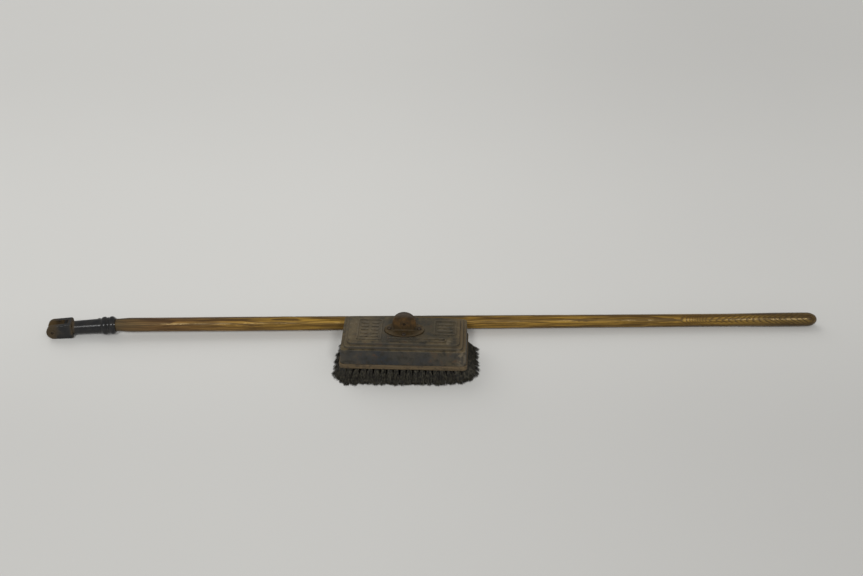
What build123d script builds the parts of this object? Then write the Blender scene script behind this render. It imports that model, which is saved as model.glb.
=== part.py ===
from build123d import *
from math import asin, cos, radians, sin, tan
import os

os.makedirs("parts", exist_ok=True)

# A weighted floor polishing brush with its long handle taken off and laid behind it.
# Millimetres, Z up, the floor at Z 0. X runs along the handle and Y away from the viewer.
# The origin is on the floor, under the middle of the two pieces together.

# Bristles and wooden brush block
tuft_columns = 19
tuft_rows = 9
tuft_pitch = 12.0
strands_per_tuft = 2
strand_root_length = 4.0
strand_root_width = 5.0
strand_tip_length = 4.6
strand_tip_width = 7.0
bristle_height = 21.5
splay_left = 21.0
splay_right = 28.0
splay_front = 25.0
splay_back = 18.2
slice_thickness = 3.0
slice_gap = 0.2
block_rim = 5.0
block_edge = 8.0
block_corner = 10.0
block_edge_round = 1.5
plug_height = 6.0
plug_inset = 14.0
plug_corner = 8.0
plug_clearance = 0.4

# Screws that hold the block up against the iron
block_screw_column = 2
block_screw_row = 1
block_screw_radius = 3.0
block_screw_bite = 14.0
block_screw_head_radius = 4.75
block_screw_head_height = 2.6
screw_clearance = 0.3
thread_clearance = 0.05
slot_cut_width = 1.5
slot_cut_depth = 1.1

# Cast-iron weight: drafted wall, two moulding steps and a top panel with plain raised fields
ledge = 2.2
wall_height = 30.5
wall_draft = 2.0
wall_corner = 8.5
step_count = 2
step_tread = 5.6
step_rise = 4.7
step_draft = 6.0
casting_round = 1.2
relief_height = 1.2
relief_line = 2.2
relief_corner = 4.0
left_field_x = -64.5
left_field_length = 46.0
left_field_width = 66.0
right_field_x = 76.0
right_field_y = 10.0
right_field_length = 42.0
right_field_width = 46.0
reed_pitch = 11.0
left_reed_rows = 5
left_reed_columns = 2
left_reed_spacing = 19.0
left_reed_length = 14.0
right_reed_rows = 3
right_reed_length = 30.0
reed_width = 4.0
strip_x = 24.0
strip_y = -31.0
strip_length = 110.0
strip_width = 11.0

# Oval bracket with the upright tongue that the fork goes over
flange_half_length = 37.4
flange_half_width = 24.0
flange_thickness = 4.0
flange_round = 1.5
flange_seat_depth = 1.0
flange_seat_clearance = 0.3
tongue_radius = 22.0
tongue_thickness = 9.6
tongue_round = 1.2
tongue_foot_round = 2.5
eye_height = 13.2
eye_boss_radius = 7.0
eye_boss_height = 0.7
bracket_screw_reach_x = 28.0
bracket_screw_reach_y = 19.3
bracket_screw_radius = 2.5
bracket_screw_bite = 16.0
bracket_screw_head_radius = 4.0
bracket_screw_head_height = 2.8
bracket_screw_round = 1.2

# Fork and handle socket, measured along their axis from the pivot pin
pin_radius = 3.0
pin_clearance = 0.05
pin_end_inset = 3.0
ear_tip = 11.5
ear_round_start = 4.0
ear_half_height = 14.2
ear_edge_round = 1.0
ear_boss_radius = 6.5
ear_boss_height = 0.8
fork_length = 38.8
fork_width = 29.0
fork_base_half_height = 15.2
fork_base_chamfer = 2.5
fork_slot_reach = 28.7
fork_slot_width = 13.4
neck_overlap = 6.0
neck_radius = 12.8
neck_end = 94.5
neck_end_radius = 14.4
bead_radius = 17.4
bead_length = 10.6
ring_length = 4.3
ring_radius = 15.8
groove_radius = 15.1
mouth_lip = 1.2
mouth_radius = 14.3
socket_depth = 41.0
socket_clearance = 0.05

# Nail through the socket wall
nail_at = 89.0
nail_angle = 140.0
nail_radius = 1.5
nail_length = 18.0
nail_head_radius = 3.2
nail_head_height = 1.6
nail_head_round = 1.2
nail_sink = 0.6

# Ash handle, measured along its axis from the socket mouth, and its far end back from the tip
tenon_end_radius = 11.0
tenon_end_gap = 1.0
tenon_collar = 2.0
shaft_start = 1.0
shaft_start_radius = 12.0
shoulder_at = 30.0
shoulder_radius = 13.5
belly_at = 240.0
belly_radius = 13.7
shaft_reach = 1360.0
waist_from_end = 197.0
waist_radius = 12.2
swell_from_end = 52.0
swell_radius = 13.5
tip_length = 20.0
tip_radius = 13.3

# How the two pieces lie on the floor
fork_droop = 3.5
head_turn = -3.7
head_shift = -58.0
head_to_handle = 100.2

# Sizes of the head that follow from those above
bed_length = tuft_columns * tuft_pitch
bed_width = tuft_rows * tuft_pitch
block_length = bed_length + 2 * block_rim
block_width = bed_width + 2 * block_rim
block_top = bristle_height + block_edge
bed_top = bristle_height + slice_thickness
plug_length = block_length - 2 * plug_inset
plug_width = block_width - 2 * plug_inset
wall_length = block_length - 2 * ledge
wall_width = block_width - 2 * ledge
wall_top = block_top + wall_height
wall_lean = wall_height * tan(radians(wall_draft))
step_lean = step_rise * tan(radians(step_draft))
panel_height = wall_top + step_count * step_rise
flange_seat = panel_height - flange_seat_depth
flange_top = flange_seat + flange_thickness
eye_z = flange_top + eye_height
block_screw_span_x = (tuft_columns - 1 - 2 * block_screw_column) * tuft_pitch
block_screw_span_y = (tuft_rows - 1 - 2 * block_screw_row) * tuft_pitch
block_screw_top = block_top + plug_height + block_screw_bite
strand_pitch = tuft_pitch / strands_per_tuft

# Sizes of the handle: the round ends of the fork's ears rest on the floor, the iron rises from
# there at its droop, and the wood runs on from the mouth to rest on its swelling
first_bead_at = neck_end + bead_length / 2
ring_start = neck_end + bead_length
second_bead_start = ring_start + ring_length
second_bead_end = second_bead_start + bead_length
mouth_at = second_bead_end + mouth_lip
waist_at = shaft_reach - waist_from_end
swell_at = shaft_reach - swell_from_end
tip_at = shaft_reach - tip_length
droop = radians(fork_droop)
ear_depth = ear_tip + ear_round_start
ear_radius = (ear_depth**2 + ear_half_height**2) / (2 * ear_depth)
pin_z = ear_radius - (ear_radius - ear_tip) * sin(droop)
mouth_z = pin_z + mouth_at * sin(droop)
shaft_tilt = asin((swell_radius - mouth_z) / swell_at)
handle_length = (ear_tip + mouth_at) * cos(droop) + shaft_reach * cos(shaft_tilt)
pin_x = ear_tip * cos(droop) - handle_length / 2

# Layout in Y: the set is centred between the front bristle tips and the back of the beads
turn = radians(head_turn)
tip_reach_x = (bed_length - strand_pitch + strand_tip_length) / 2 + splay_right
tip_reach_y = (bed_width - tuft_pitch + strand_tip_width) / 2 + splay_front
front_reach = head_to_handle + tip_reach_y * cos(turn) + tip_reach_x * abs(sin(turn))
handle_y = (front_reach - bead_radius) / 2
head_y = handle_y - head_to_handle

# Planes: the head's floor plane and upright middle plane, then the side planes of the iron
# fork and of the wood, both with local X along the axis and local Y up
head_plane = Plane(origin=(head_shift, head_y, 0), x_dir=(cos(turn), sin(turn), 0), z_dir=(0, 0, 1))
tongue_plane = Plane(origin=head_plane.origin, x_dir=head_plane.x_dir, z_dir=-head_plane.y_dir)
fork_plane = Plane(origin=(pin_x, handle_y, pin_z), x_dir=(cos(droop), 0, sin(droop)), z_dir=(0, -1, 0))
mouth_centre = fork_plane.from_local_coords(Vector(mouth_at, 0, 0))
shaft_plane = Plane(origin=mouth_centre, x_dir=(cos(shaft_tilt), 0, sin(shaft_tilt)), z_dir=(0, -1, 0))
fork_axis = Axis(fork_plane.origin, fork_plane.x_dir)
shaft_axis = Axis(shaft_plane.origin, shaft_plane.x_dir)


def raised_frame(length, width):
    """Outline of a raised frame with rounded corners, at the current location."""
    RectangleRounded(length, width, relief_corner)
    inner_corner = relief_corner - relief_line
    RectangleRounded(length - 2 * relief_line, width - 2 * relief_line, inner_corner, mode=Mode.SUBTRACT)


def bracket_screw_places():
    """The four screw places on the bracket's flange: left, right, front and back."""
    ends = [(-bracket_screw_reach_x, 0), (bracket_screw_reach_x, 0)]
    sides = [(0, -bracket_screw_reach_y), (0, bracket_screw_reach_y)]
    return Locations(*ends, *sides)


# Cast-iron weight
with BuildPart() as iron_weight:
    with BuildSketch(head_plane.offset(block_top)):
        RectangleRounded(wall_length, wall_width, wall_corner)
    extrude(amount=wall_height, taper=wall_draft)
    fillet(iron_weight.faces().sort_by(Axis.Z)[-1].edges(), radius=casting_round)
    for step in range(step_count):
        step_inset = wall_lean + (step + 1) * step_tread + step * step_lean
        with BuildSketch(head_plane.offset(wall_top + step * step_rise)):
            RectangleRounded(wall_length - 2 * step_inset, wall_width - 2 * step_inset, wall_corner)
        extrude(amount=step_rise, taper=step_draft)
        fillet(iron_weight.faces().sort_by(Axis.Z)[-1].edges(), radius=casting_round)
    # Two framed fields of plain reeds and one framed strip, raised on the panel
    with BuildSketch(head_plane.offset(panel_height)):
        with Locations((left_field_x, 0)):
            raised_frame(left_field_length, left_field_width)
            with GridLocations(left_reed_spacing, reed_pitch, left_reed_columns, left_reed_rows):
                SlotOverall(left_reed_length, reed_width)
        with Locations((right_field_x, right_field_y)):
            raised_frame(right_field_length, right_field_width)
            with GridLocations(0, reed_pitch, 1, right_reed_rows):
                SlotOverall(right_reed_length, reed_width)
        with Locations((strip_x, strip_y)):
            raised_frame(strip_length, strip_width)
    extrude(amount=relief_height)
    # Shallow seat for the bracket
    with BuildSketch(head_plane.offset(flange_seat)):
        Ellipse(flange_half_length + flange_seat_clearance, flange_half_width + flange_seat_clearance)
    extrude(amount=flange_seat_depth, mode=Mode.SUBTRACT)
    # Underside: the pocket for the block's plug and the tapped holes of both sets of screws
    with BuildSketch(head_plane.offset(block_top)):
        RectangleRounded(plug_length + 2 * plug_clearance, plug_width + 2 * plug_clearance, plug_corner)
    extrude(amount=plug_height + plug_clearance, mode=Mode.SUBTRACT)
    with BuildSketch(head_plane.offset(block_top)):
        with GridLocations(block_screw_span_x, block_screw_span_y, 2, 2):
            Circle(block_screw_radius + thread_clearance)
    extrude(amount=plug_height + block_screw_bite, mode=Mode.SUBTRACT)
    with BuildSketch(head_plane.offset(flange_seat)):
        with bracket_screw_places():
            Circle(bracket_screw_radius + thread_clearance)
    extrude(amount=-bracket_screw_bite, mode=Mode.SUBTRACT)
iron_weight.part.label = "iron_weight"
export_step(iron_weight.part, "parts/iron_weight.step")

# Pivot bracket: oval flange, upright tongue and pivot eye
with BuildPart() as pivot_bracket:
    with BuildSketch(head_plane.offset(flange_seat)):
        Ellipse(flange_half_length, flange_half_width)
    extrude(amount=flange_thickness)
    fillet(pivot_bracket.faces().sort_by(Axis.Z)[-1].edges(), radius=flange_round)
    with BuildSketch(tongue_plane):
        with Locations((0, eye_z)):
            Circle(tongue_radius)
        with Locations((0, flange_seat)):
            above_seat = (Align.CENTER, Align.MIN)
            Rectangle(4 * tongue_radius, 4 * tongue_radius, align=above_seat, mode=Mode.INTERSECT)
    extrude(amount=tongue_thickness / 2, both=True)
    rim_edges = pivot_bracket.edges().filter_by(GeomType.CIRCLE).group_by(Axis.Z)[-1]
    fillet(rim_edges, radius=tongue_round)
    foot_lines = pivot_bracket.edges().filter_by(GeomType.LINE)
    fillet(foot_lines.filter_by_position(Axis.Z, flange_top, flange_top), radius=tongue_foot_round)
    with BuildSketch(tongue_plane):
        with Locations((0, eye_z)):
            Circle(eye_boss_radius)
    extrude(amount=tongue_thickness / 2 + eye_boss_height, both=True)
    with BuildSketch(tongue_plane):
        with Locations((0, eye_z)):
            Circle(pin_radius + pin_clearance)
    extrude(amount=tongue_thickness, both=True, mode=Mode.SUBTRACT)
    with BuildSketch(head_plane.offset(flange_seat)):
        with bracket_screw_places():
            Circle(bracket_screw_radius + screw_clearance)
    extrude(amount=flange_thickness, mode=Mode.SUBTRACT)
pivot_bracket.part.label = "pivot_bracket"
export_step(pivot_bracket.part, "parts/pivot_bracket.step")

# Four slotted round-head screws through the flange
with BuildPart() as bracket_screws:
    with BuildSketch(head_plane.offset(flange_top)):
        with bracket_screw_places():
            Circle(bracket_screw_head_radius)
    extrude(amount=bracket_screw_head_height)
    fillet(bracket_screws.edges().group_by(Axis.Z)[-1], radius=bracket_screw_round)
    with BuildSketch(head_plane.offset(flange_top)):
        with bracket_screw_places():
            Circle(bracket_screw_radius)
    extrude(amount=thread_clearance - flange_thickness - bracket_screw_bite)
    with BuildSketch(head_plane.offset(flange_top + bracket_screw_head_height)):
        with bracket_screw_places():
            Rectangle(2 * bracket_screw_head_radius, slot_cut_width)
    extrude(amount=-slot_cut_depth, mode=Mode.SUBTRACT)
bracket_screws.part.label = "bracket_screws"
export_step(bracket_screws.part, "parts/bracket_screws.step")

# Wooden brush block: edge board, plug let into the iron, and the bed of the tufts below
with BuildPart() as brush_block:
    with BuildSketch(head_plane.offset(bristle_height)):
        RectangleRounded(block_length, block_width, block_corner)
    extrude(amount=block_edge)
    fillet(brush_block.faces().sort_by(Axis.Z)[-1].edges(), radius=block_edge_round)
    with BuildSketch(head_plane.offset(block_top)):
        RectangleRounded(plug_length, plug_width, plug_corner)
    extrude(amount=plug_height)
    with BuildSketch(head_plane.offset(bristle_height)):
        Rectangle(bed_length, bed_width)
    extrude(amount=slice_thickness, mode=Mode.SUBTRACT)
    with BuildSketch(head_plane.offset(bed_top)):
        with GridLocations(block_screw_span_x, block_screw_span_y, 2, 2):
            Circle(block_screw_radius + screw_clearance)
    extrude(amount=block_top + plug_height - bed_top, mode=Mode.SUBTRACT)
brush_block.part.label = "brush_block"
export_step(brush_block.part, "parts/brush_block.step")

# Four slotted screws, heads among the tufts, up through the block into the iron
with BuildPart() as block_screws:
    with BuildSketch(head_plane.offset(bed_top)):
        with GridLocations(block_screw_span_x, block_screw_span_y, 2, 2):
            Circle(block_screw_head_radius)
    extrude(amount=-block_screw_head_height)
    with BuildSketch(head_plane.offset(bed_top)):
        with GridLocations(block_screw_span_x, block_screw_span_y, 2, 2):
            Circle(block_screw_radius)
    extrude(amount=block_screw_top - bed_top - thread_clearance)
    with BuildSketch(head_plane.offset(bed_top - block_screw_head_height)):
        with GridLocations(block_screw_span_x, block_screw_span_y, 2, 2):
            Rectangle(2 * block_screw_head_radius, slot_cut_width)
    extrude(amount=slot_cut_depth, mode=Mode.SUBTRACT)
block_screws.part.label = "block_screws"
export_step(block_screws.part, "parts/block_screws.step")


def splayed(place, outermost, splay_low, splay_high):
    """Where a strand rooted at place meets the floor: the outer ones lean out the most."""
    splay = splay_low if place < 0 else splay_high
    return place + splay * (place / outermost) ** 3


# Rows of bristle tufts, each row on its own slice of the block, tips cut flat on the floor
outermost_x = (bed_length - strand_pitch) / 2
outermost_y = (bed_width - tuft_pitch) / 2
screw_columns = (block_screw_column, tuft_columns - 1 - block_screw_column)
screw_rows = (block_screw_row, tuft_rows - 1 - block_screw_row)
for row in range(tuft_rows):
    row_y = row * tuft_pitch - outermost_y
    row_tip_y = splayed(row_y, outermost_y, splay_front, splay_back)
    row_name = f"bristle_row_{row + 1}"
    with BuildPart() as bristle_row:
        with BuildSketch(head_plane.offset(bristle_height)):
            with Locations((0, row_y)):
                Rectangle(bed_length - slice_gap, tuft_pitch - slice_gap)
            if row in screw_rows:
                with Locations((0, row_y)):
                    with GridLocations(block_screw_span_x, 0, 2, 1):
                        Circle(block_screw_head_radius + screw_clearance, mode=Mode.SUBTRACT)
        extrude(amount=slice_thickness)
        strands = []
        for strand in range(tuft_columns * strands_per_tuft):
            if row in screw_rows and strand // strands_per_tuft in screw_columns:
                continue
            strand_x = strand * strand_pitch - outermost_x
            with BuildSketch(head_plane.offset(bristle_height), mode=Mode.PRIVATE) as root:
                with Locations((strand_x, row_y)):
                    Rectangle(strand_root_length, strand_root_width)
            with BuildSketch(head_plane, mode=Mode.PRIVATE) as tip:
                with Locations((splayed(strand_x, outermost_x, splay_left, splay_right), row_tip_y)):
                    Rectangle(strand_tip_length, strand_tip_width)
            strands.append(loft([root.sketch, tip.sketch], ruled=True, mode=Mode.PRIVATE))
        add(strands)
    bristle_row.part.label = row_name
    export_step(bristle_row.part, f"parts/{row_name}.step")

# Cast-iron fork and handle socket
with BuildPart() as fork_socket:
    with BuildSketch(fork_plane):
        with BuildLine():
            Polyline(
                (ear_round_start, ear_half_height),
                (fork_length - fork_base_chamfer, fork_base_half_height),
                (fork_length, fork_base_half_height - fork_base_chamfer),
                (fork_length, fork_base_chamfer - fork_base_half_height),
                (fork_length - fork_base_chamfer, -fork_base_half_height),
                (ear_round_start, -ear_half_height),
            )
            ThreePointArc(
                (ear_round_start, -ear_half_height),
                (-ear_tip, 0),
                (ear_round_start, ear_half_height),
            )
        make_face()
    extrude(amount=fork_width / 2, both=True)
    side_faces = fork_socket.faces().sort_by(Axis.Y)
    fillet(side_faces[0].edges() + side_faces[-1].edges(), radius=ear_edge_round)
    with BuildSketch(fork_plane):
        with BuildLine():
            Line((fork_length - neck_overlap, 0), (fork_length - neck_overlap, neck_radius))
            Line((fork_length - neck_overlap, neck_radius), (neck_end, neck_end_radius))
            ThreePointArc(
                (neck_end, neck_end_radius),
                (first_bead_at, bead_radius),
                (ring_start, groove_radius),
            )
            ThreePointArc(
                (ring_start, groove_radius),
                (ring_start + ring_length / 2, ring_radius),
                (second_bead_start, groove_radius),
            )
            ThreePointArc(
                (second_bead_start, groove_radius),
                (second_bead_start + bead_length / 2, bead_radius),
                (second_bead_end, mouth_radius),
            )
            Polyline(
                (second_bead_end, mouth_radius),
                (mouth_at, mouth_radius),
                (mouth_at, 0),
                (fork_length - neck_overlap, 0),
            )
        make_face()
    revolve(axis=fork_axis)
    # Bosses round the pin holes, then the slot that clears the round tongue
    with BuildSketch(fork_plane):
        Circle(ear_boss_radius)
    extrude(amount=fork_width / 2 + ear_boss_height, both=True)
    with BuildSketch(fork_plane):
        Circle(fork_slot_reach)
    extrude(amount=fork_slot_width / 2, both=True, mode=Mode.SUBTRACT)
    with BuildSketch(fork_plane):
        Circle(pin_radius + pin_clearance)
    extrude(amount=fork_width, both=True, mode=Mode.SUBTRACT)
    # Tapered bore for the wood
    with BuildSketch(fork_plane):
        with BuildLine():
            Polyline(
                (mouth_at, 0),
                (mouth_at, shaft_start_radius + socket_clearance),
                (mouth_at - socket_depth, tenon_end_radius + socket_clearance),
                (mouth_at - socket_depth, 0),
                close=True,
            )
        make_face()
    revolve(axis=fork_axis, mode=Mode.SUBTRACT)
    # Spot face and hole for the nail
    nail_out = fork_plane.z_dir * cos(radians(nail_angle)) + fork_plane.y_dir * sin(radians(nail_angle))
    nail_slope = (nail_at - fork_length + neck_overlap) / (neck_end - fork_length + neck_overlap)
    nail_seat = neck_radius + (neck_end_radius - neck_radius) * nail_slope - nail_sink
    nail_foot = fork_plane.from_local_coords(Vector(nail_at, 0, 0)) + nail_out * nail_seat
    nail_plane = Plane(origin=nail_foot, x_dir=fork_plane.x_dir, z_dir=nail_out)
    with BuildSketch(nail_plane):
        Circle(nail_head_radius + screw_clearance)
    extrude(amount=bead_radius, mode=Mode.SUBTRACT)
    with BuildSketch(nail_plane):
        Circle(nail_radius + thread_clearance)
    extrude(amount=-nail_length, mode=Mode.SUBTRACT)
fork_socket.part.label = "fork_socket"
export_step(fork_socket.part, "parts/fork_socket.step")

# Ash handle: tenon in the socket, long taper to the waist, swelling and rounded end
with BuildPart() as handle_shaft:
    with BuildSketch(fork_plane):
        with BuildLine():
            Polyline(
                (mouth_at + tenon_collar, 0),
                (mouth_at + tenon_collar, tenon_end_radius),
                (mouth_at, tenon_end_radius),
                (mouth_at, shaft_start_radius),
                (mouth_at - socket_depth + tenon_end_gap, tenon_end_radius),
                (mouth_at - socket_depth + tenon_end_gap, 0),
                close=True,
            )
        make_face()
    revolve(axis=fork_axis)
    with BuildSketch(nail_plane):
        Circle(nail_radius + thread_clearance)
    extrude(amount=-nail_length, mode=Mode.SUBTRACT)
    with BuildSketch(shaft_plane):
        along = (1, 0)
        with BuildLine():
            Line((shaft_start, 0), (shaft_start, shaft_start_radius))
            Spline((shaft_start, shaft_start_radius), (shoulder_at, shoulder_radius), tangents=[along, along])
            Spline((shoulder_at, shoulder_radius), (belly_at, belly_radius), tangents=[along, along])
            Spline((belly_at, belly_radius), (waist_at, waist_radius), tangents=[along, along])
            Spline((waist_at, waist_radius), (swell_at, swell_radius), tangents=[along, along])
            Spline((swell_at, swell_radius), (tip_at, tip_radius), tangents=[along, along])
            EllipticalCenterArc((tip_at, 0), tip_length, tip_radius, arc_size=90)
            Line((shaft_reach, 0), (shaft_start, 0))
        make_face()
    revolve(axis=shaft_axis)
handle_shaft.part.label = "handle_shaft"
export_step(handle_shaft.part, "parts/handle_shaft.step")

# Round-head nail that keeps the socket on the wood
with BuildPart() as socket_nail:
    with BuildSketch(nail_plane):
        Circle(nail_head_radius)
    extrude(amount=nail_head_height)
    nail_rim = socket_nail.edges().sort_by(Axis(nail_plane.origin, nail_plane.z_dir))[-1]
    fillet(nail_rim, radius=nail_head_round)
    with BuildSketch(nail_plane):
        Circle(nail_radius)
    extrude(amount=thread_clearance - nail_length)
socket_nail.part.label = "socket_nail"
export_step(socket_nail.part, "parts/socket_nail.step")

# Pivot pin, kept in the fork's ears
with BuildPart() as pivot_pin:
    with BuildSketch(fork_plane):
        Circle(pin_radius)
    extrude(amount=fork_width / 2 + ear_boss_height - pin_end_inset, both=True)
pivot_pin.part.label = "pivot_pin"
export_step(pivot_pin.part, "parts/pivot_pin.step")
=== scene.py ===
import math

import bpy
import numpy as np
from mathutils import Matrix, Vector


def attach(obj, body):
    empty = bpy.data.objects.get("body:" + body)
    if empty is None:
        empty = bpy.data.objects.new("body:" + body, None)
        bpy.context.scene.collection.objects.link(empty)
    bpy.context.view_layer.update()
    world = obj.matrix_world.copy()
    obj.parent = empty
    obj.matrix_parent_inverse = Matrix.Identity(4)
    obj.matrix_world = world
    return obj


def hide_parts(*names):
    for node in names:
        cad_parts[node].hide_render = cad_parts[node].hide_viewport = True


# A weighted floor polishing brush and its loose handle, dressed for the photograph's view.
# Metres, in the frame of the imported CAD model. Colours are linear RGB.
# A pair of places or values is where a change begins and where it is complete.

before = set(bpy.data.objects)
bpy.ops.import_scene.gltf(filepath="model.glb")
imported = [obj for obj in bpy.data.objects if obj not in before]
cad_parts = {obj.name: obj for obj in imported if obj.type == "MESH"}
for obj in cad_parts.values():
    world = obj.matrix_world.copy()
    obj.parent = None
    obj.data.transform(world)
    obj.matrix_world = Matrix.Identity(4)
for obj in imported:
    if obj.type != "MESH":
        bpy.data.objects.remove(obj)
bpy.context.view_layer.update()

MM = 0.001

# Camera, worked out from the photograph
IMAGE_WIDTH_PX = 863
FOCAL_PX = 1500
SENSOR_MM = 36
CAMERA_PLACE = (-0.0612, -2.3183, 1.6577)
CAMERA_PITCH = 33.0
CAMERA_YAW = 1.34

# Stage: each sun has the place that it shines from, its spread in degrees and its strength
FLOOR_HALF = 9.0
FLOOR_ROUGHNESS = 0.85
SKY_COLOUR = (1.0, 1.0, 0.99, 1)
SKY_STRENGTH = 0.38
LEFT_SUN = ((-0.55, -1.9, 1.7), 10, 1.16)
RIGHT_SUN = ((0.68, -1.9, 1.7), 10, 0.78)
BEHIND_SUN = ((-1.15, 1.6, 1.55), 50, 0.88)

# Where the two items lie, from the CAD source
HEAD_PLACE = (-58.0 * MM, -16.0705 * MM, 0)
HEAD_TURN = -3.7
HEAD_X = HEAD_PLACE[0]
PANEL_Z = 69.4 * MM
RELIEF_HEIGHT = 1.2 * MM
HANDLE_Y = 84.1295 * MM
PIN_X = -734.735 * MM
FORK_BASE_X = PIN_X + 38.8 * MM
SLOT_HALF = 6.7 * MM
SLOT_BOTTOM_X = PIN_X + 28.7 * MM
SOCKET_END = -613.5 * MM

# Tuft pattern and block of the CAD source
TUFT_COLUMNS = 19
TUFT_ROWS = 9
TUFT_PITCH = 12 * MM
BRISTLE_HEIGHT = 21.5 * MM
BED_THICKNESS = 3 * MM
BED_GAP = 0.1 * MM
SCREW_COLUMNS = (2, 16)
SCREW_ROWS = (1, 7)
SCREW_HOLE_RADIUS = 5.05 * MM
SCREW_HOLE_SIDES = 28

# Bristles: the low and high splay are how far the outermost tips lean out, in X and in Y
RANDOM_SEED = 11
OUTER_FIBRES = 170
INNER_FIBRES = 56
FIBRE_SIDES = 3
FIBRE_SEGMENTS = 4
FIBRE_RADIUS = 0.34 * MM
FIBRE_TIP_RADIUS = 0.24 * MM
TUFT_RADIUS = 2.9 * MM
TUFT_SPREAD = 7.8 * MM
LOW_SPLAY = np.array([16.5, 26]) * MM
HIGH_SPLAY = np.array([26, 14]) * MM
LEFT_TAPER = 3.0 * MM
FRONT_TAPER = 2.2 * MM
CORNER_PUSH = np.array([[[13, -3], [4, -4]], [[-1, 8], [-6, -7]]]) * MM
TUFT_NUDGES = {
    (0, 1): np.array([-2, -9]) * MM,
    (1, 0): np.array([-2, -6.5]) * MM,
    (2, 0): np.array([-1, -4]) * MM,
}
KNEE = np.array([0.36, 0.36, 0.5])
TIP_SCATTER = 0.7 * MM
TUFT_SCATTER = 1.1 * MM
TIP_RAGGED = 1.4 * MM
ROOT_SINK = 1.0 * MM
OUTERMOST = np.array([TUFT_COLUMNS - 1, TUFT_ROWS - 1]) * TUFT_PITCH / 2

# From upright faces to faces that look up, by the Z of their normal
UPWARD = (0.2, 0.9)
NEARLY_UPWARD = (0.3, 0.9)

# Casting: patches have a place in the head's frame and a reach
PAINT_WALL = (0.020, 0.023, 0.027)
PAINT_TOP = (0.032, 0.029, 0.022)
PAINT_DUST = (0.081, 0.060, 0.029)
PAINT_GRIME = (0.019, 0.017, 0.012)
PAINT_PALE_DUST = (0.135, 0.110, 0.070)
PAINT_RUST = (0.072, 0.038, 0.019)
RIGHT_DUST_X = (HEAD_X - 10 * MM, HEAD_X + 90 * MM)
LEFT_DUST_X = (HEAD_X - 30 * MM, HEAD_X - 90 * MM)
MOULDING_FOOT_Z = (PANEL_Z - 10 * MM, PANEL_Z - 7 * MM)
MOULDING_TOP_Z = (PANEL_Z, PANEL_Z - 1 * MM)
MOULDING_COLOUR = (0.085, 0.066, 0.040)
RELIEF_Z = (PANEL_Z + 0.4 * RELIEF_HEIGHT, PANEL_Z + 0.9 * RELIEF_HEIGHT)
RELIEF_COLOUR = (0.105, 0.090, 0.064)
GREASE_REACH = 75 * MM
GREASE_COLOUR = (0.027, 0.026, 0.022)
PALE_PATCH = (-76 * MM, 6 * MM, 0)
PALE_REACH = 62 * MM
PALE_COLOUR = (0.128, 0.103, 0.068)
BROWN_EDGE_X = (HEAD_X + 90 * MM, HEAD_X + 104 * MM)
BROWN_EDGE_COLOUR = (0.145, 0.098, 0.044)
DULL_PATCH = (62 * MM, 4 * MM, 0)
DULL_REACH = 45 * MM
DULL_COLOUR = (0.032, 0.028, 0.019)
SCUFF_WIDTH = 1.2 * MM
SCUFF_COLOUR = (0.125, 0.096, 0.058)
KNOCKED_CORNER = (108 * MM, -50 * MM, 0)
KNOCKED_REACH = 13 * MM
KNOCKED_Z = (PANEL_Z - 4 * MM, PANEL_Z - 10 * MM)
KNOCKED_COLOUR = (0.150, 0.118, 0.076)
CASTING_PITS = 0.7 * MM

# Bracket
RUST_DARK = (0.036, 0.022, 0.010)
RUST_LIGHT = (0.087, 0.047, 0.015)
RUST_SPECK = (0.092, 0.050, 0.023)
RUST_DUST = (0.070, 0.054, 0.032)
RUST_EDGE_WIDTH = 1.0 * MM
RUST_EDGE = (0.095, 0.070, 0.042)
TONGUE_FOOT_Z = (PANEL_Z + 16 * MM, PANEL_Z + 5 * MM)
TONGUE_FOOT_COLOUR = (0.030, 0.021, 0.008)
TONGUE_CROWN_Z = (PANEL_Z + 29 * MM, PANEL_Z + 36 * MM)
TONGUE_CROWN_COLOUR = (0.064, 0.056, 0.048)
FLANGE_Z = (PANEL_Z + 6 * MM, PANEL_Z + 4 * MM)
FLANGE_REACH = 37 * MM
FLANGE_DUST = (0.096, 0.073, 0.042)
# Grime and painted shade, darkening corners and hollows
CREVICE_GRIME_AND_SHADE = (0.016, 0.013, 0.010)
CREVICE_REACH = 5 * MM
RUST_PITS = 0.5 * MM

# Fork
BLACK_DEEP = (0.013, 0.013, 0.014)
BLACK_WORN = (0.022, 0.021, 0.020)
EAR_X = (PIN_X + 29 * MM, PIN_X - 11 * MM)
EAR_RUST_DARK = (0.034, 0.023, 0.012)
EAR_RUST_LIGHT = (0.068, 0.046, 0.022)
SLOT_SIDE = (SLOT_HALF + 0.5 * MM, SLOT_HALF - 0.5 * MM)
SLOT_X = (SLOT_BOTTOM_X + 4 * MM, SLOT_BOTTOM_X)
SLOT_RUST = (0.125, 0.071, 0.016)
# Painted shade, near black at the end of the slot
SLOT_END_X = (SLOT_BOTTOM_X - 11 * MM, SLOT_BOTTOM_X - 8 * MM)
SLOT_END_SHADE = (0.005, 0.004, 0.003)
FORK_BASE_REACH = (6 * MM, 1 * MM)
FORK_EDGE_WIDTH = 0.9 * MM
FORK_EDGE = (0.058, 0.045, 0.030)
FORK_PITS = 0.5 * MM

# Fastenings and brush block
STEEL_DARK = (0.035, 0.028, 0.022)
STEEL_BROWN = (0.080, 0.056, 0.036)
STEEL_PITS = 0.3 * MM
BLOCK_DARK = (0.056, 0.039, 0.019)
BLOCK_LIGHT = (0.122, 0.086, 0.046)
BLOCK_STAIN = (0.036, 0.027, 0.017)
BLOCK_EDGE_WIDTH = 1.0 * MM
BLOCK_EDGE = (0.150, 0.112, 0.066)
BLOCK_GRAIN = (14, 420, 420)
BLOCK_GRAIN_DEPTH = 0.4 * MM

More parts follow.
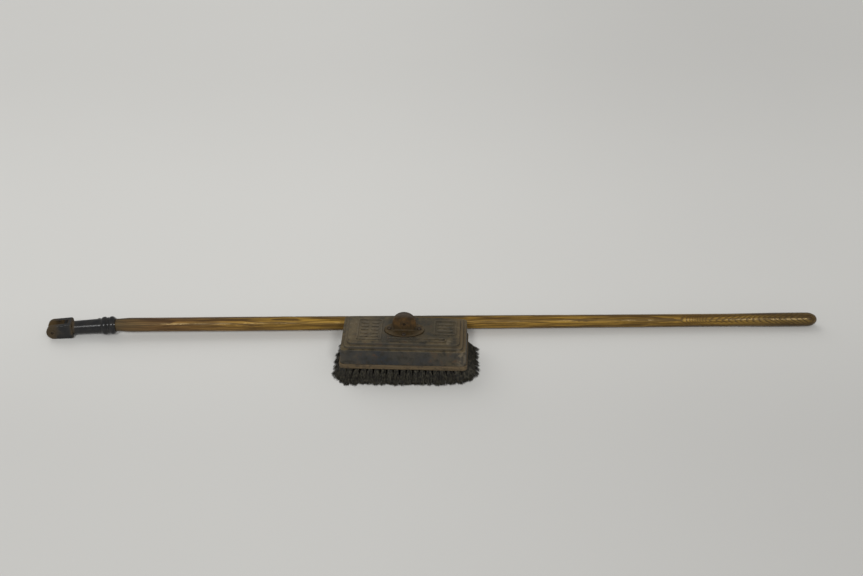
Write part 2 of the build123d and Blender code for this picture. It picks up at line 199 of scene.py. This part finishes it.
# Handle's ash: growth rings about a pith, which run out of the wood towards the grip
RING_SPACING = 2.8 * MM
RING_WANDER = 24 * MM
PITH_BEHIND = 21 * MM
PITH_BELOW = 20 * MM
PITH_TILT = 0.6
PITH_TURN = -0.9
RUNOUT_START = 0.475
RUNOUT_EASE = 0.03
RUNOUT_RATE = 0.25
RUNOUT_CURVE = 1.7
RUNOUT_CURVE_X = (RUNOUT_START, RUNOUT_START + 0.06)
WANDER_GRAIN = (2.6, 26, 26)
PORE_GRAIN = (22, 900, 900)
FLAME_GRAIN = (9, 190, 190)
SMOKE_GRAIN = (9, 60, 60)
WEAR_GRAIN = (34, 200, 200)
LATE_DARK = (0.084, 0.044, 0.009)
LATE_LIGHT = (0.300, 0.173, 0.028)
EARLY_DARK = (0.042, 0.020, 0.006)
EARLY_LIGHT = (0.080, 0.041, 0.012)
SMOKE_COLOUR = (0.068, 0.036, 0.011)
# Painted shade on the back half of the handle
SHADED_BACK_Y = (HANDLE_Y - 4 * MM, HANDLE_Y + 9 * MM)
SHADED_BACK_COLOUR = (0.052, 0.036, 0.017)
SOCKET_SIDE_X = (-0.25, -0.55)
SOCKET_SIDE_TINT = (0.70, 0.66, 1.30)
GRIMY_X = (-0.52, -0.60)
GRIME_COLOUR = (0.052, 0.038, 0.023)
MIDDLE_X = (0.18, 0.34)
MIDDLE_TINT = (0.90, 0.91, 0.96)
GRIP_X = (0.49, 0.71)
GRIP_TINT = (0.47, 0.51, 0.88)
# Painted shade on top of the handle where it lies behind the head
HEAD_SHADE_X = HEAD_X + 8 * MM
HEAD_SHADE_REACH = (120 * MM, 104 * MM)
HEAD_SHADE_Y = (HANDLE_Y - 7 * MM, HANDLE_Y)
HEAD_SHADE_UPWARD = (0.62, 0.85)
HEAD_SHADE_COLOUR = (0.036, 0.031, 0.023)
COLLAR_X = (SOCKET_END + 22 * MM, SOCKET_END)
COLLAR_COLOUR = (0.034, 0.029, 0.020)
GRIP_HELD_X = (0.50, 0.62)
SOCKET_HELD_X = (-0.30, -0.48)
UNPOLISHED_X = (SOCKET_END + 40 * MM, SOCKET_END + 110 * MM)
VARNISH_TINT = (1.0, 0.74, 0.36, 1)
PORE_DEPTH = 0.3 * MM

# Fibres and paper
FIBRE_STRETCH = (1, 1, 0.06)
FIBRE_DARK = (0.008, 0.007, 0.005)
FIBRE_LIGHT = (0.084, 0.075, 0.050)
FIBRE_DIRT = (0.022, 0.019, 0.016)
PAPER_LIGHT = (0.654, 0.648, 0.624)
PAPER_SHADED = (0.510, 0.504, 0.486)
# Painted shade towards the right of the floor, and a painted band of light just behind the brush
PAPER_SHADE_X = (-0.4, 1.0)
PAPER_BRIGHT_Y = (-0.3, 0.25)
PAPER_FAR_Y = (1.4, 0.5)

rng = np.random.default_rng(RANDOM_SEED)
head = Matrix.Translation(HEAD_PLACE) @ Matrix.Rotation(math.radians(HEAD_TURN), 4, "Z")


class Graph:
    """A Principled material, with one short call for each node that is added to it."""

    def __init__(self, name, **constants):
        self.material = bpy.data.materials.new(name)
        self.material.use_nodes = True
        self.tree = self.material.node_tree
        self.shader = self.tree.nodes["Principled BSDF"]
        for socket, value in constants.items():
            self.shader.inputs[socket.replace("_", " ")].default_value = value
        coordinates = self.add("ShaderNodeTexCoord")
        self.place = coordinates.outputs["Object"]
        self.normal = coordinates.outputs["Normal"]

    def add(self, kind, **settings):
        node = self.tree.nodes.new(kind)
        for name, value in settings.items():
            setattr(node, name, value)
        return node

    def feed(self, socket, value):
        """Link a socket to another one, or set it to a number, a vector or a colour."""
        if isinstance(value, bpy.types.NodeSocket):
            self.tree.links.new(value, socket)
        elif isinstance(value, tuple) and len(value) == 3 and socket.type == "RGBA":
            socket.default_value = (*value, 1)
        else:
            socket.default_value = value

    def math(self, operation, a, b=0.0, clamp=False):
        node = self.add("ShaderNodeMath", operation=operation, use_clamp=clamp)
        self.feed(node.inputs[0], a)
        self.feed(node.inputs[1], b)
        return node.outputs[0]

    def plus(self, a, b):
        return self.math("ADD", a, b)

    def minus(self, a, b):
        return self.math("SUBTRACT", a, b)

    def times(self, first, *others):
        product = first
        for other in others:
            product = self.math("MULTIPLY", product, other)
        return product

    def squares(self, a, b):
        """The sum of two squares."""
        return self.plus(self.times(a, a), self.times(b, b))

    def away(self, value, middle):
        """How far a value is from a middle, to either side."""
        return self.math("ABSOLUTE", self.minus(value, middle))

    def split(self, vector):
        node = self.add("ShaderNodeSeparateXYZ")
        self.feed(node.inputs[0], vector)
        return node.outputs

    def moved(self, location=(0, 0, 0), scale=(1, 1, 1), rotation=(0, 0, 0), vector=None):
        node = self.add("ShaderNodeMapping")
        self.feed(node.inputs["Vector"], vector or self.place)
        self.feed(node.inputs["Location"], location)
        self.feed(node.inputs["Rotation"], rotation)
        self.feed(node.inputs["Scale"], scale)
        return node.outputs[0]

    def noise(self, scale, detail=4, roughness=0.6, vector=None, distortion=0.0):
        node = self.add("ShaderNodeTexNoise")
        self.feed(node.inputs["Vector"], vector or self.place)
        self.feed(node.inputs["Scale"], scale)
        self.feed(node.inputs["Detail"], detail)
        self.feed(node.inputs["Roughness"], roughness)
        self.feed(node.inputs["Distortion"], distortion)
        return node.outputs["Fac"]

    def grain(self, stretch, detail=3, roughness=0.6, vector=None, distortion=0.0):
        """Noise with a scale for each axis, drawn out along the lowest."""
        stretched = self.moved(scale=stretch, vector=vector)
        return self.noise(1, detail, roughness, stretched, distortion)

    def span(self, value, low, high, to=(0.0, 1.0)):
        """The value's range from low to high, spread smoothly over another range."""
        node = self.add("ShaderNodeMapRange", interpolation_type="SMOOTHSTEP")
        self.feed(node.inputs["Value"], value)
        self.feed(node.inputs["From Min"], low)
        self.feed(node.inputs["From Max"], high)
        self.feed(node.inputs["To Min"], to[0])
        self.feed(node.inputs["To Max"], to[1])
        return node.outputs[0]

    def mix(self, factor, a, b, blend="MIX"):
        node = self.add("ShaderNodeMix", data_type="RGBA", blend_type=blend)
        self.feed(node.inputs[0], factor)
        self.feed(node.inputs[6], a)
        self.feed(node.inputs[7], b)
        return node.outputs[2]

    def edges(self, radius):
        """1 along sharp edges and 0 elsewhere, from how far a rounded normal turns away."""
        bevel = self.add("ShaderNodeBevel", samples=6)
        self.feed(bevel.inputs["Radius"], radius)
        geometry = self.add("ShaderNodeNewGeometry")
        dot = self.add("ShaderNodeVectorMath", operation="DOT_PRODUCT")
        self.feed(dot.inputs[0], bevel.outputs[0])
        self.feed(dot.inputs[1], geometry.outputs["Normal"])
        return self.span(dot.outputs["Value"], 0.995, 0.9)

    def crevices(self, distance):
        """1 in corners and hollows, 0 in the open."""
        node = self.add("ShaderNodeAmbientOcclusion", samples=8)
        self.feed(node.inputs["Distance"], distance)
        return self.span(node.outputs["AO"], 0.85, 0.35)

    def near(self, place, reach):
        """1 on the upright line through a place, falling to 0 at its reach."""
        x, y, _ = self.split(self.place)
        off = self.squares(self.minus(x, place[0]), self.minus(y, place[1]))
        return self.span(off, reach**2, 0.0)

    def bump(self, height, strength, distance):
        node = self.add("ShaderNodeBump")
        self.feed(node.inputs["Strength"], strength)
        self.feed(node.inputs["Distance"], distance)
        self.feed(node.inputs["Height"], height)
        return node.outputs[0]

    def done(self, colour, roughness, normal=None):
        self.feed(self.shader.inputs["Base Color"], colour)
        self.feed(self.shader.inputs["Roughness"], roughness)
        if normal:
            self.feed(self.shader.inputs["Normal"], normal)
        return self.material


def painted_iron():
    """Old black paint on a casting, gone brown where dust and rust lie on it."""
    g = Graph("painted_iron", Specular_IOR_Level=0.3)
    x, _, z = g.split(g.place)
    up = g.split(g.normal)[2]
    patch = g.noise(26)
    mottle = g.noise(80, detail=5, roughness=0.62)

    # Brown dust, the most on top and at both ends
    uneven = g.span(patch, 0.34, 0.66, to=(-0.35, 0.35))
    uneven = g.times(uneven, g.span(up, *UPWARD, to=(0.5, 1.0)))
    settled = g.plus(g.span(up, *UPWARD, to=(0.16, 0.68)), uneven)
    right = g.span(x, *RIGHT_DUST_X, to=(0.0, 0.30))
    right = g.times(right, g.span(up, *reversed(UPWARD)))
    left = g.span(x, *LEFT_DUST_X, to=(0.0, 0.36))
    left = g.times(left, g.span(up, *UPWARD, to=(0.45, 1.0)))
    settled = g.math("ADD", settled, g.math("MAXIMUM", right, left), clamp=True)
    paint = g.mix(g.span(up, *UPWARD), PAINT_WALL, PAINT_TOP)
    colour = g.mix(settled, paint, PAINT_DUST)
    colour = g.mix(g.span(mottle, 0.52, 0.36, to=(0.0, 0.85)), colour, PAINT_GRIME)
    dusty = g.times(g.span(mottle, 0.54, 0.70), g.span(up, 0.1, 0.8, to=(0.1, 0.75)))
    colour = g.mix(dusty, colour, PAINT_PALE_DUST)

    # Places that are paler or darker than the rest
    moulding = g.times(g.span(z, *MOULDING_FOOT_Z), g.span(z, *MOULDING_TOP_Z), 0.35)
    colour = g.mix(moulding, colour, MOULDING_COLOUR)
    rubbed = g.times(g.span(z, *RELIEF_Z), g.span(g.noise(90), 0.42, 0.60, to=(0.0, 0.6)))
    colour = g.mix(rubbed, colour, RELIEF_COLOUR)
    greasy = g.near(HEAD_PLACE, GREASE_REACH)
    greasy = g.times(greasy, g.span(patch, 0.35, 0.6, to=(0.9, 0.4)))
    colour = g.mix(greasy, colour, GREASE_COLOUR)
    pale = g.near(head @ Vector(PALE_PATCH), PALE_REACH)
    pale = g.times(pale, g.span(up, *NEARLY_UPWARD, to=(0.0, 0.34)))
    colour = g.mix(pale, colour, PALE_COLOUR)
    brown_edge = g.span(x, *BROWN_EDGE_X)
    brown_edge = g.times(brown_edge, g.span(up, *NEARLY_UPWARD, to=(0.0, 0.38)))
    colour = g.mix(brown_edge, colour, BROWN_EDGE_COLOUR)
    dull = g.times(g.near(head @ Vector(DULL_PATCH), DULL_REACH), 0.3)
    colour = g.mix(dull, colour, DULL_COLOUR)

    # Wear
    rust = g.span(g.noise(85, detail=6, roughness=0.65), 0.56, 0.72, to=(0.0, 0.6))
    colour = g.mix(rust, colour, PAINT_RUST)
    scuffs = g.span(g.noise(120, roughness=0.55), 0.35, 0.6, to=(0.0, 0.7))
    colour = g.mix(g.times(g.edges(SCUFF_WIDTH), scuffs), colour, SCUFF_COLOUR)
    knocked = g.near(head @ Vector(KNOCKED_CORNER), KNOCKED_REACH)
    chips = g.span(g.noise(140, roughness=0.55), 0.44, 0.62, to=(0.0, 0.8))
    knocked = g.times(knocked, chips, g.span(z, *KNOCKED_Z))
    colour = g.mix(knocked, colour, KNOCKED_COLOUR)
    roughness = g.span(mottle, 0.3, 0.7, to=(0.5, 0.75))
    height = g.plus(g.times(g.noise(900, detail=3), 0.4), g.noise(230))
    return g.done(colour, roughness, g.bump(height, 0.45, CASTING_PITS))


def rusty_iron():
    """Bare iron with a dark brown rust skin, and dust on the rim of its flange."""
    g = Graph("rusty_iron", Specular_IOR_Level=0.2)
    z = g.split(g.place)[2]
    up = g.split(g.normal)[2]
    blotch = g.noise(95, detail=5)
    speck = g.noise(420, roughness=0.65)
    colour = g.mix(g.span(blotch, 0.35, 0.68), RUST_DARK, RUST_LIGHT)
    colour = g.mix(g.span(speck, 0.54, 0.74, to=(0.0, 0.6)), colour, RUST_SPECK)
    dust = g.span(g.noise(160), 0.48, 0.66, to=(0.0, 0.55))
    colour = g.mix(g.times(g.span(up, *NEARLY_UPWARD), dust), colour, RUST_DUST)
    colour = g.mix(g.times(g.edges(RUST_EDGE_WIDTH), 0.4), colour, RUST_EDGE)
    colour = g.mix(g.span(z, *TONGUE_FOOT_Z, to=(0.0, 0.6)), colour, TONGUE_FOOT_COLOUR)
    colour = g.mix(g.span(z, *TONGUE_CROWN_Z, to=(0.0, 0.6)), colour, TONGUE_CROWN_COLOUR)
    flange = g.times(g.span(up, 0.5, 0.9), g.span(z, *FLANGE_Z))
    settled = g.times(flange, g.span(g.noise(130), 0.40, 0.58, to=(0.3, 1.0)))
    settled = g.times(settled, g.minus(1.0, g.near(HEAD_PLACE, FLANGE_REACH)), 0.6)
    colour = g.mix(settled, colour, FLANGE_DUST)
    # Darker in corners and hollows: grime there, and painted shade
    colour = g.mix(g.times(g.crevices(CREVICE_REACH), 0.7), colour, CREVICE_GRIME_AND_SHADE)
    roughness = g.span(speck, 0.3, 0.7, to=(0.5, 0.8))
    height = g.plus(speck, g.times(g.noise(1500, detail=2, roughness=0.55), 0.4))
    return g.done(colour, roughness, g.bump(height, 0.4, RUST_PITS))


def black_iron():
    """Glossy black paint on the fork, rusted through at its ears and inside its slot."""
    g = Graph("black_iron", Specular_IOR_Level=0.26)
    x, y, _ = g.split(g.place)
    blotch = g.noise(90, detail=5)
    ear = g.span(x, *EAR_X, to=(-0.12, 0.92))
    inside = g.times(g.span(g.away(y, HANDLE_Y), *SLOT_SIDE), g.span(x, *SLOT_X))
    bare = g.plus(g.math("MAXIMUM", ear, inside), g.times(blotch, 1.1))
    base_edge = g.span(g.away(x, FORK_BASE_X), *FORK_BASE_REACH)
    edge_rust = g.times(base_edge, g.span(blotch, 0.35, 0.6))
    rust = g.math("MAXIMUM", g.span(bare, 0.62, 1.35), edge_rust)
    colour = g.mix(g.span(blotch, 0.3, 0.7), BLACK_DEEP, BLACK_WORN)
    tint = g.mix(g.noise(300, roughness=0.55), EAR_RUST_DARK, EAR_RUST_LIGHT)
    tint = g.mix(g.times(inside, 0.7), tint, SLOT_RUST)
    # Painted shade at the slot's end
    tint = g.mix(g.times(inside, g.span(x, *SLOT_END_X)), tint, SLOT_END_SHADE)
    colour = g.mix(rust, colour, tint)
    colour = g.mix(g.times(g.edges(FORK_EDGE_WIDTH), 0.3), colour, FORK_EDGE)
    roughness = g.span(rust, 0.0, 1.0, to=(0.20, 0.72))
    height = g.plus(g.noise(260), g.times(g.noise(1200, detail=2, roughness=0.55), 0.3))
    return g.done(colour, roughness, g.bump(height, 0.14, FORK_PITS))


def dark_steel():
    """Small old fastenings: dull steel with brown stains."""
    g = Graph("dark_steel", Metallic=0.6)
    blotch = g.noise(400)
    colour = g.mix(g.span(blotch, 0.35, 0.65), STEEL_DARK, STEEL_BROWN)
    roughness = g.span(blotch, 0.3, 0.7, to=(0.45, 0.7))
    return g.done(colour, roughness, g.bump(blotch, 0.25, STEEL_PITS))


def block_wood():
    """Stained beech block, dirty and dry."""
    g = Graph("block_wood", Specular_IOR_Level=0.3)
    turned = g.moved(rotation=(0, 0, math.radians(-HEAD_TURN)))
    grain = g.grain(BLOCK_GRAIN, detail=5, roughness=0.65, vector=turned)
    stain = g.noise(95, roughness=0.65)
    colour = g.mix(g.span(grain, 0.3, 0.7), BLOCK_DARK, BLOCK_LIGHT)
    colour = g.mix(g.span(stain, 0.48, 0.66, to=(0.0, 0.75)), colour, BLOCK_STAIN)
    colour = g.mix(g.times(g.edges(BLOCK_EDGE_WIDTH), 0.45), colour, BLOCK_EDGE)
    roughness = g.span(grain, 0.3, 0.7, to=(0.62, 0.8))
    return g.done(colour, roughness, g.bump(grain, 0.25, BLOCK_GRAIN_DEPTH))


def ash_rings(g, x):
    """1 in the early wood of each ring and 0 in the late wood."""
    pith = g.moved(
        location=(0, -HANDLE_Y - PITH_BEHIND, PITH_BELOW),
        rotation=(0, math.radians(PITH_TILT), math.radians(PITH_TURN)),
    )
    _, across, above = g.split(pith)
    radius = g.math("SQRT", g.squares(across, above))
    off_middle = g.minus(radius, math.hypot(PITH_BEHIND, PITH_BELOW))
    curved = g.times(off_middle, g.span(x, *RUNOUT_CURVE_X, to=(1.0, RUNOUT_CURVE)))
    past = g.math("MAXIMUM", g.minus(x, RUNOUT_START), 0.0)
    eased = g.math("SQRT", g.plus(g.times(past, past), RUNOUT_EASE**2))
    runout = g.times(g.minus(eased, RUNOUT_EASE), RUNOUT_RATE)
    wander = g.times(g.grain(WANDER_GRAIN, roughness=0.5), RING_WANDER)
    distance = g.plus(g.plus(curved, wander), runout)
    ring = g.math("FRACT", g.math("DIVIDE", distance, RING_SPACING))
    return g.times(g.span(ring, 0.0, 0.10), g.span(ring, 0.62, 0.18))


def ash_wood():
    """Varnished ash: rings about a pith beside the handle, which run out at the grip end."""
    g = Graph("ash_wood", Specular_IOR_Level=0.5, Specular_Tint=VARNISH_TINT)
    x, y, _ = g.split(g.place)
    up = g.split(g.normal)[2]
    early = ash_rings(g, x)
    pores = g.grain(PORE_GRAIN)
    flame = g.grain(FLAME_GRAIN, detail=4, distortion=0.7)
    late_wood = g.mix(g.span(flame, 0.38, 0.64), LATE_DARK, LATE_LIGHT)
    early_wood = g.mix(g.span(pores, 0.4, 0.6), EARLY_DARK, EARLY_LIGHT)
    colour = g.mix(g.times(early, 0.92), late_wood, early_wood)
    smoke = g.span(g.grain(SMOKE_GRAIN), 0.52, 0.72, to=(0.0, 0.6))
    colour = g.mix(smoke, colour, SMOKE_COLOUR)
    # Painted shade: darker over the back half of the handle
    colour = g.mix(g.span(y, *SHADED_BACK_Y, to=(0.0, 0.75)), colour, SHADED_BACK_COLOUR)
    colour = g.mix(g.span(x, *SOCKET_SIDE_X), colour, SOCKET_SIDE_TINT, "MULTIPLY")
    colour = g.mix(g.span(x, *GRIMY_X, to=(0.0, 0.6)), colour, GRIME_COLOUR)
    colour = g.mix(g.span(x, *MIDDLE_X), colour, MIDDLE_TINT, "MULTIPLY")
    colour = g.mix(g.span(x, *GRIP_X), colour, GRIP_TINT, "MULTIPLY")

    # Painted shade on top where the handle lies behind the head, and grime at the socket
    stain = g.times(g.span(g.away(x, HEAD_SHADE_X), *HEAD_SHADE_REACH), g.span(y, *HEAD_SHADE_Y))
    stain = g.times(stain, g.span(up, *HEAD_SHADE_UPWARD))
    colour = g.mix(g.times(stain, 0.9), colour, HEAD_SHADE_COLOUR)
    colour = g.mix(g.span(x, *COLLAR_X, to=(0.0, 0.6)), colour, COLLAR_COLOUR)

    # Polished in places by hands, more so near both ends
    grip_held = g.span(x, *GRIP_HELD_X, to=(0.0, 0.14))
    held = g.plus(grip_held, g.span(x, *SOCKET_HELD_X, to=(0.0, 0.09)))
    polished = g.span(g.plus(g.grain(WEAR_GRAIN), held), 0.52, 0.62)
    polished = g.times(polished, g.span(early, 0.0, 0.8, to=(1.0, 0.55)))
    polished = g.times(polished, g.span(x, *UNPOLISHED_X, to=(0.2, 1.0)))
    # No polish where the painted shade lies behind the head
    polished = g.math("SUBTRACT", polished, stain, clamp=True)
    roughness = g.span(polished, 0.0, 1.0, to=(0.56, 0.26))
    height = g.minus(pores, g.times(early, 0.6))
    return g.done(colour, roughness, g.bump(height, 0.16, PORE_DEPTH))


def bristle():
    """Black-brown fibre, each strand a little lighter or darker than the next."""
    g = Graph("bristle", Specular_IOR_Level=0.35)
    strand = g.noise(360, detail=2, vector=g.moved(scale=FIBRE_STRETCH))
    dirt = g.span(g.noise(75, detail=3), 0.45, 0.72, to=(0.0, 0.6))
    colour = g.mix(g.span(strand, 0.40, 0.66), FIBRE_DARK, FIBRE_LIGHT)
    colour = g.mix(dirt, colour, FIBRE_DIRT)
    return g.done(colour, g.span(strand, 0.3, 0.7, to=(0.4, 0.6)))


def floor_paper():
    """Plain pale paper, painted a little darker to the right and lighter just behind the brush.
    """
    g = Graph("floor_paper", Specular_IOR_Level=0.0)
    x, y, _ = g.split(g.place)
    cloud = g.times(g.noise(3, detail=3, roughness=0.5), 0.08)
    # Painted shade towards the right, over a faint random cloud
    shade = g.plus(g.span(x, *PAPER_SHADE_X, to=(0.35, 1.0)), cloud)
    # A painted band of light just behind the brush
    painted_light = g.times(g.span(y, *PAPER_BRIGHT_Y), g.span(y, *PAPER_FAR_Y, to=(0.1, 0.4)))
    return g.done(g.mix(g.minus(shade, painted_light), PAPER_LIGHT, PAPER_SHADED), FLOOR_ROUGHNESS)


materials = {
    make.__name__: make()
    for make in (painted_iron, rusty_iron, black_iron, dark_steel, block_wood, ash_wood, bristle)
}
node_finish = {
    "iron_weight": "painted_iron",
    "pivot_bracket": "rusty_iron",
    "bracket_screws": "dark_steel",
    "brush_block": "block_wood",
    "block_screws": "dark_steel",
    "fork_socket": "black_iron",
    "handle_shaft": "ash_wood",
    "socket_nail": "dark_steel",
    "pivot_pin": "dark_steel",
}
for name, finish in node_finish.items():
    for material_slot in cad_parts[name].material_slots:
        material_slot.material = materials[finish]


def add_piece(name, mesh, finish, body):
    """A finished mesh in the frame, with its material, on a CAD body."""
    mesh.materials.append(materials[finish])
    piece = bpy.data.objects.new(name, mesh)
    bpy.context.scene.collection.objects.link(piece)
    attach(piece, body)
    return piece


def footprint(place):
    """Where fibres spread to these places reach the floor: the outer ones lean out the most."""
    lean = np.clip(place / OUTERMOST, -1, 1) ** 3
    corner = np.maximum(1, np.hypot(lean[:, 0], lean[:, 1]))[:, None]
    splay = np.where(place < 0, LOW_SPLAY, HIGH_SPLAY) * lean / corner
    left, front = np.maximum(-lean, 0).T
    splay[:, 0] += LEFT_TAPER * left * place[:, 1] / OUTERMOST[1]
    splay[:, 1] += FRONT_TAPER * front * place[:, 0] / OUTERMOST[0]
    side, end = (place > 0).astype(int).T
    return place + splay + CORNER_PUSH[side, end] * (lean[:, :1] * lean[:, 1:]) ** 2


def tuft_fibres(centre, count, nudge):
    """Centre lines of one tuft's fibres in the head's frame, as fibres by points by 3."""
    angle = rng.uniform(0, 2 * math.pi, count)
    reach = np.sqrt(rng.uniform(0, 1, count))
    offset = np.stack([reach * np.cos(angle), reach * np.sin(angle)], 1)
    scatter = rng.normal(0, TUFT_SCATTER, 2) + rng.normal(0, TIP_SCATTER, (count, 2))
    tip = footprint(centre + TUFT_SPREAD * offset) + scatter + nudge
    lift = TIP_RAGGED * rng.uniform(0, 1, count) ** 2
    along = np.linspace(0, 1, FIBRE_SEGMENTS + 1)[None, :, None]
    root_z = np.full(count, BRISTLE_HEIGHT + ROOT_SINK)
    start = np.column_stack([centre + TUFT_RADIUS * offset, root_z])[:, None, :]
    end = np.column_stack([tip, lift])[:, None, :]
    knee = start + (end - start) * KNEE
    return start * (1 - along) ** 2 + 2 * knee * along * (1 - along) + end * along**2


def fibre_mesh(name, lines):
    """Three-sided tapered tubes along the lines, closed at both ends."""
    count, rings = lines.shape[:2]
    turn = np.linspace(0, 2 * math.pi, FIBRE_SIDES, endpoint=False)
    circle = np.stack([np.cos(turn), np.sin(turn), np.zeros(FIBRE_SIDES)], 1)
    radius = np.linspace(FIBRE_RADIUS, FIBRE_TIP_RADIUS, rings)[None, :, None, None]
    points = (lines[:, :, None, :] + circle[None, None] * radius).reshape(-1, 3)
    faces = []
    for fibre in range(count):
        first = fibre * rings * FIBRE_SIDES
        for ring in range(rings - 1):
            low = first + ring * FIBRE_SIDES
            high = low + FIBRE_SIDES
            for side in range(FIBRE_SIDES):
                beside = (side + 1) % FIBRE_SIDES
                faces.append((low + side, high + side, high + beside, low + beside))
        last = first + (rings - 1) * FIBRE_SIDES
        faces.append(tuple(first + side for side in range(FIBRE_SIDES)))
        faces.append(tuple(last + side for side in reversed(range(FIBRE_SIDES))))
    mesh = bpy.data.meshes.new(name)
    mesh.from_pydata(points.tolist(), [], faces)
    mesh.transform(head)
    mesh.shade_smooth()
    return mesh


def add_bristles():
    """One piece for each row of tufts, in place of the CAD row."""
    for row in range(TUFT_ROWS):
        tufts = []
        for column in range(TUFT_COLUMNS):
            if row in SCREW_ROWS and column in SCREW_COLUMNS:
                continue
            outer = row in (0, TUFT_ROWS - 1) or column in (0, TUFT_COLUMNS - 1)
            centre = np.array([column, row]) * TUFT_PITCH - OUTERMOST
            nudge = TUFT_NUDGES.get((column, row), 0)
            tufts.append(tuft_fibres(centre, OUTER_FIBRES if outer else INNER_FIBRES, nudge))
        name = f"bristles_{row + 1}"
        piece = add_piece(name, fibre_mesh(name, np.concatenate(tufts)), "bristle", "brush_head")
        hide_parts(f"bristle_row_{row + 1}")


def bed_outlines():
    """The bed's rectangle and its screw holes, in the head's frame."""
    half_x = TUFT_COLUMNS * TUFT_PITCH / 2 - BED_GAP
    half_y = TUFT_ROWS * TUFT_PITCH / 2 - BED_GAP
    outlines = [[(-half_x, -half_y), (half_x, -half_y), (half_x, half_y), (-half_x, half_y)]]
    turns = np.linspace(0, 2 * math.pi, SCREW_HOLE_SIDES, endpoint=False)
    for column in SCREW_COLUMNS:
        for row in SCREW_ROWS:
            x = (column - (TUFT_COLUMNS - 1) / 2) * TUFT_PITCH
            y = (row - (TUFT_ROWS - 1) / 2) * TUFT_PITCH
            outlines.append([
                (x + SCREW_HOLE_RADIUS * math.cos(turn), y + SCREW_HOLE_RADIUS * math.sin(turn))
                for turn in turns
            ])
    return outlines


def add_bed():
    """The block's wooden face between the tufts, with holes for its screws."""
    curve = bpy.data.curves.new("bristle_bed", "CURVE")
    curve.dimensions = "2D"
    curve.fill_mode = "BOTH"
    curve.extrude = BED_THICKNESS / 2 - BED_GAP
    for outline in bed_outlines():
        spline = curve.splines.new("POLY")
        spline.points.add(len(outline) - 1)
        for point, (x, y) in zip(spline.points, outline):
            point.co = (x, y, 0, 1)
        spline.use_cyclic_u = True
    shape = bpy.data.objects.new("bristle_bed_shape", curve)
    mesh = bpy.data.meshes.new_from_object(shape)
    bpy.data.objects.remove(shape)
    mesh.name = "bristle_bed"
    mesh.transform(head @ Matrix.Translation((0, 0, BRISTLE_HEIGHT + BED_THICKNESS / 2)))
    add_piece("bristle_bed", mesh, "block_wood", "brush_head")


def add_sun(name, source, spread, strength):
    """A sun that shines from the source's side, as wide in the sky as its spread in degrees."""
    light = bpy.data.lights.new(name, "SUN")
    light.angle = math.radians(spread)
    light.energy = strength
    lamp = bpy.data.objects.new(name, light)
    lamp.location = source
    lamp.rotation_euler = (-Vector(source)).to_track_quat("-Z", "Y").to_euler()
    bpy.context.scene.collection.objects.link(lamp)
    return lamp


def add_stage():
    """The paper floor, an even sky and three suns, of which the one behind makes no glints."""
    mesh = bpy.data.meshes.new("floor")
    half = FLOOR_HALF
    corners = [(-half, -half, 0), (half, -half, 0), (half, half, 0), (-half, half, 0)]
    mesh.from_pydata(corners, [], [(0, 1, 2, 3)])
    mesh.materials.append(floor_paper())
    floor = bpy.data.objects.new("floor", mesh)
    bpy.context.scene.collection.objects.link(floor)

    world = bpy.data.worlds.new("studio")
    bpy.context.scene.world = world
    world.use_nodes = True
    background = world.node_tree.nodes["Background"]
    background.inputs["Color"].default_value = SKY_COLOUR
    background.inputs["Strength"].default_value = SKY_STRENGTH
    add_sun("left", *LEFT_SUN)
    add_sun("right", *RIGHT_SUN)
    add_sun("behind", *BEHIND_SUN).visible_glossy = False


def add_camera():
    """The photograph's camera, looking down at the brush with no roll."""
    camera_data = bpy.data.cameras.new("camera")
    camera_data.sensor_fit = "HORIZONTAL"
    camera_data.sensor_width = SENSOR_MM
    camera_data.lens = FOCAL_PX * SENSOR_MM / IMAGE_WIDTH_PX
    camera = bpy.data.objects.new("camera", camera_data)
    camera.location = CAMERA_PLACE
    camera.rotation_euler = (math.radians(90 - CAMERA_PITCH), 0, math.radians(-CAMERA_YAW))
    bpy.context.scene.collection.objects.link(camera)
    bpy.context.scene.camera = camera


add_bristles()
add_bed()
add_stage()
add_camera()
bpy.context.scene.view_settings.view_transform = "Standard"
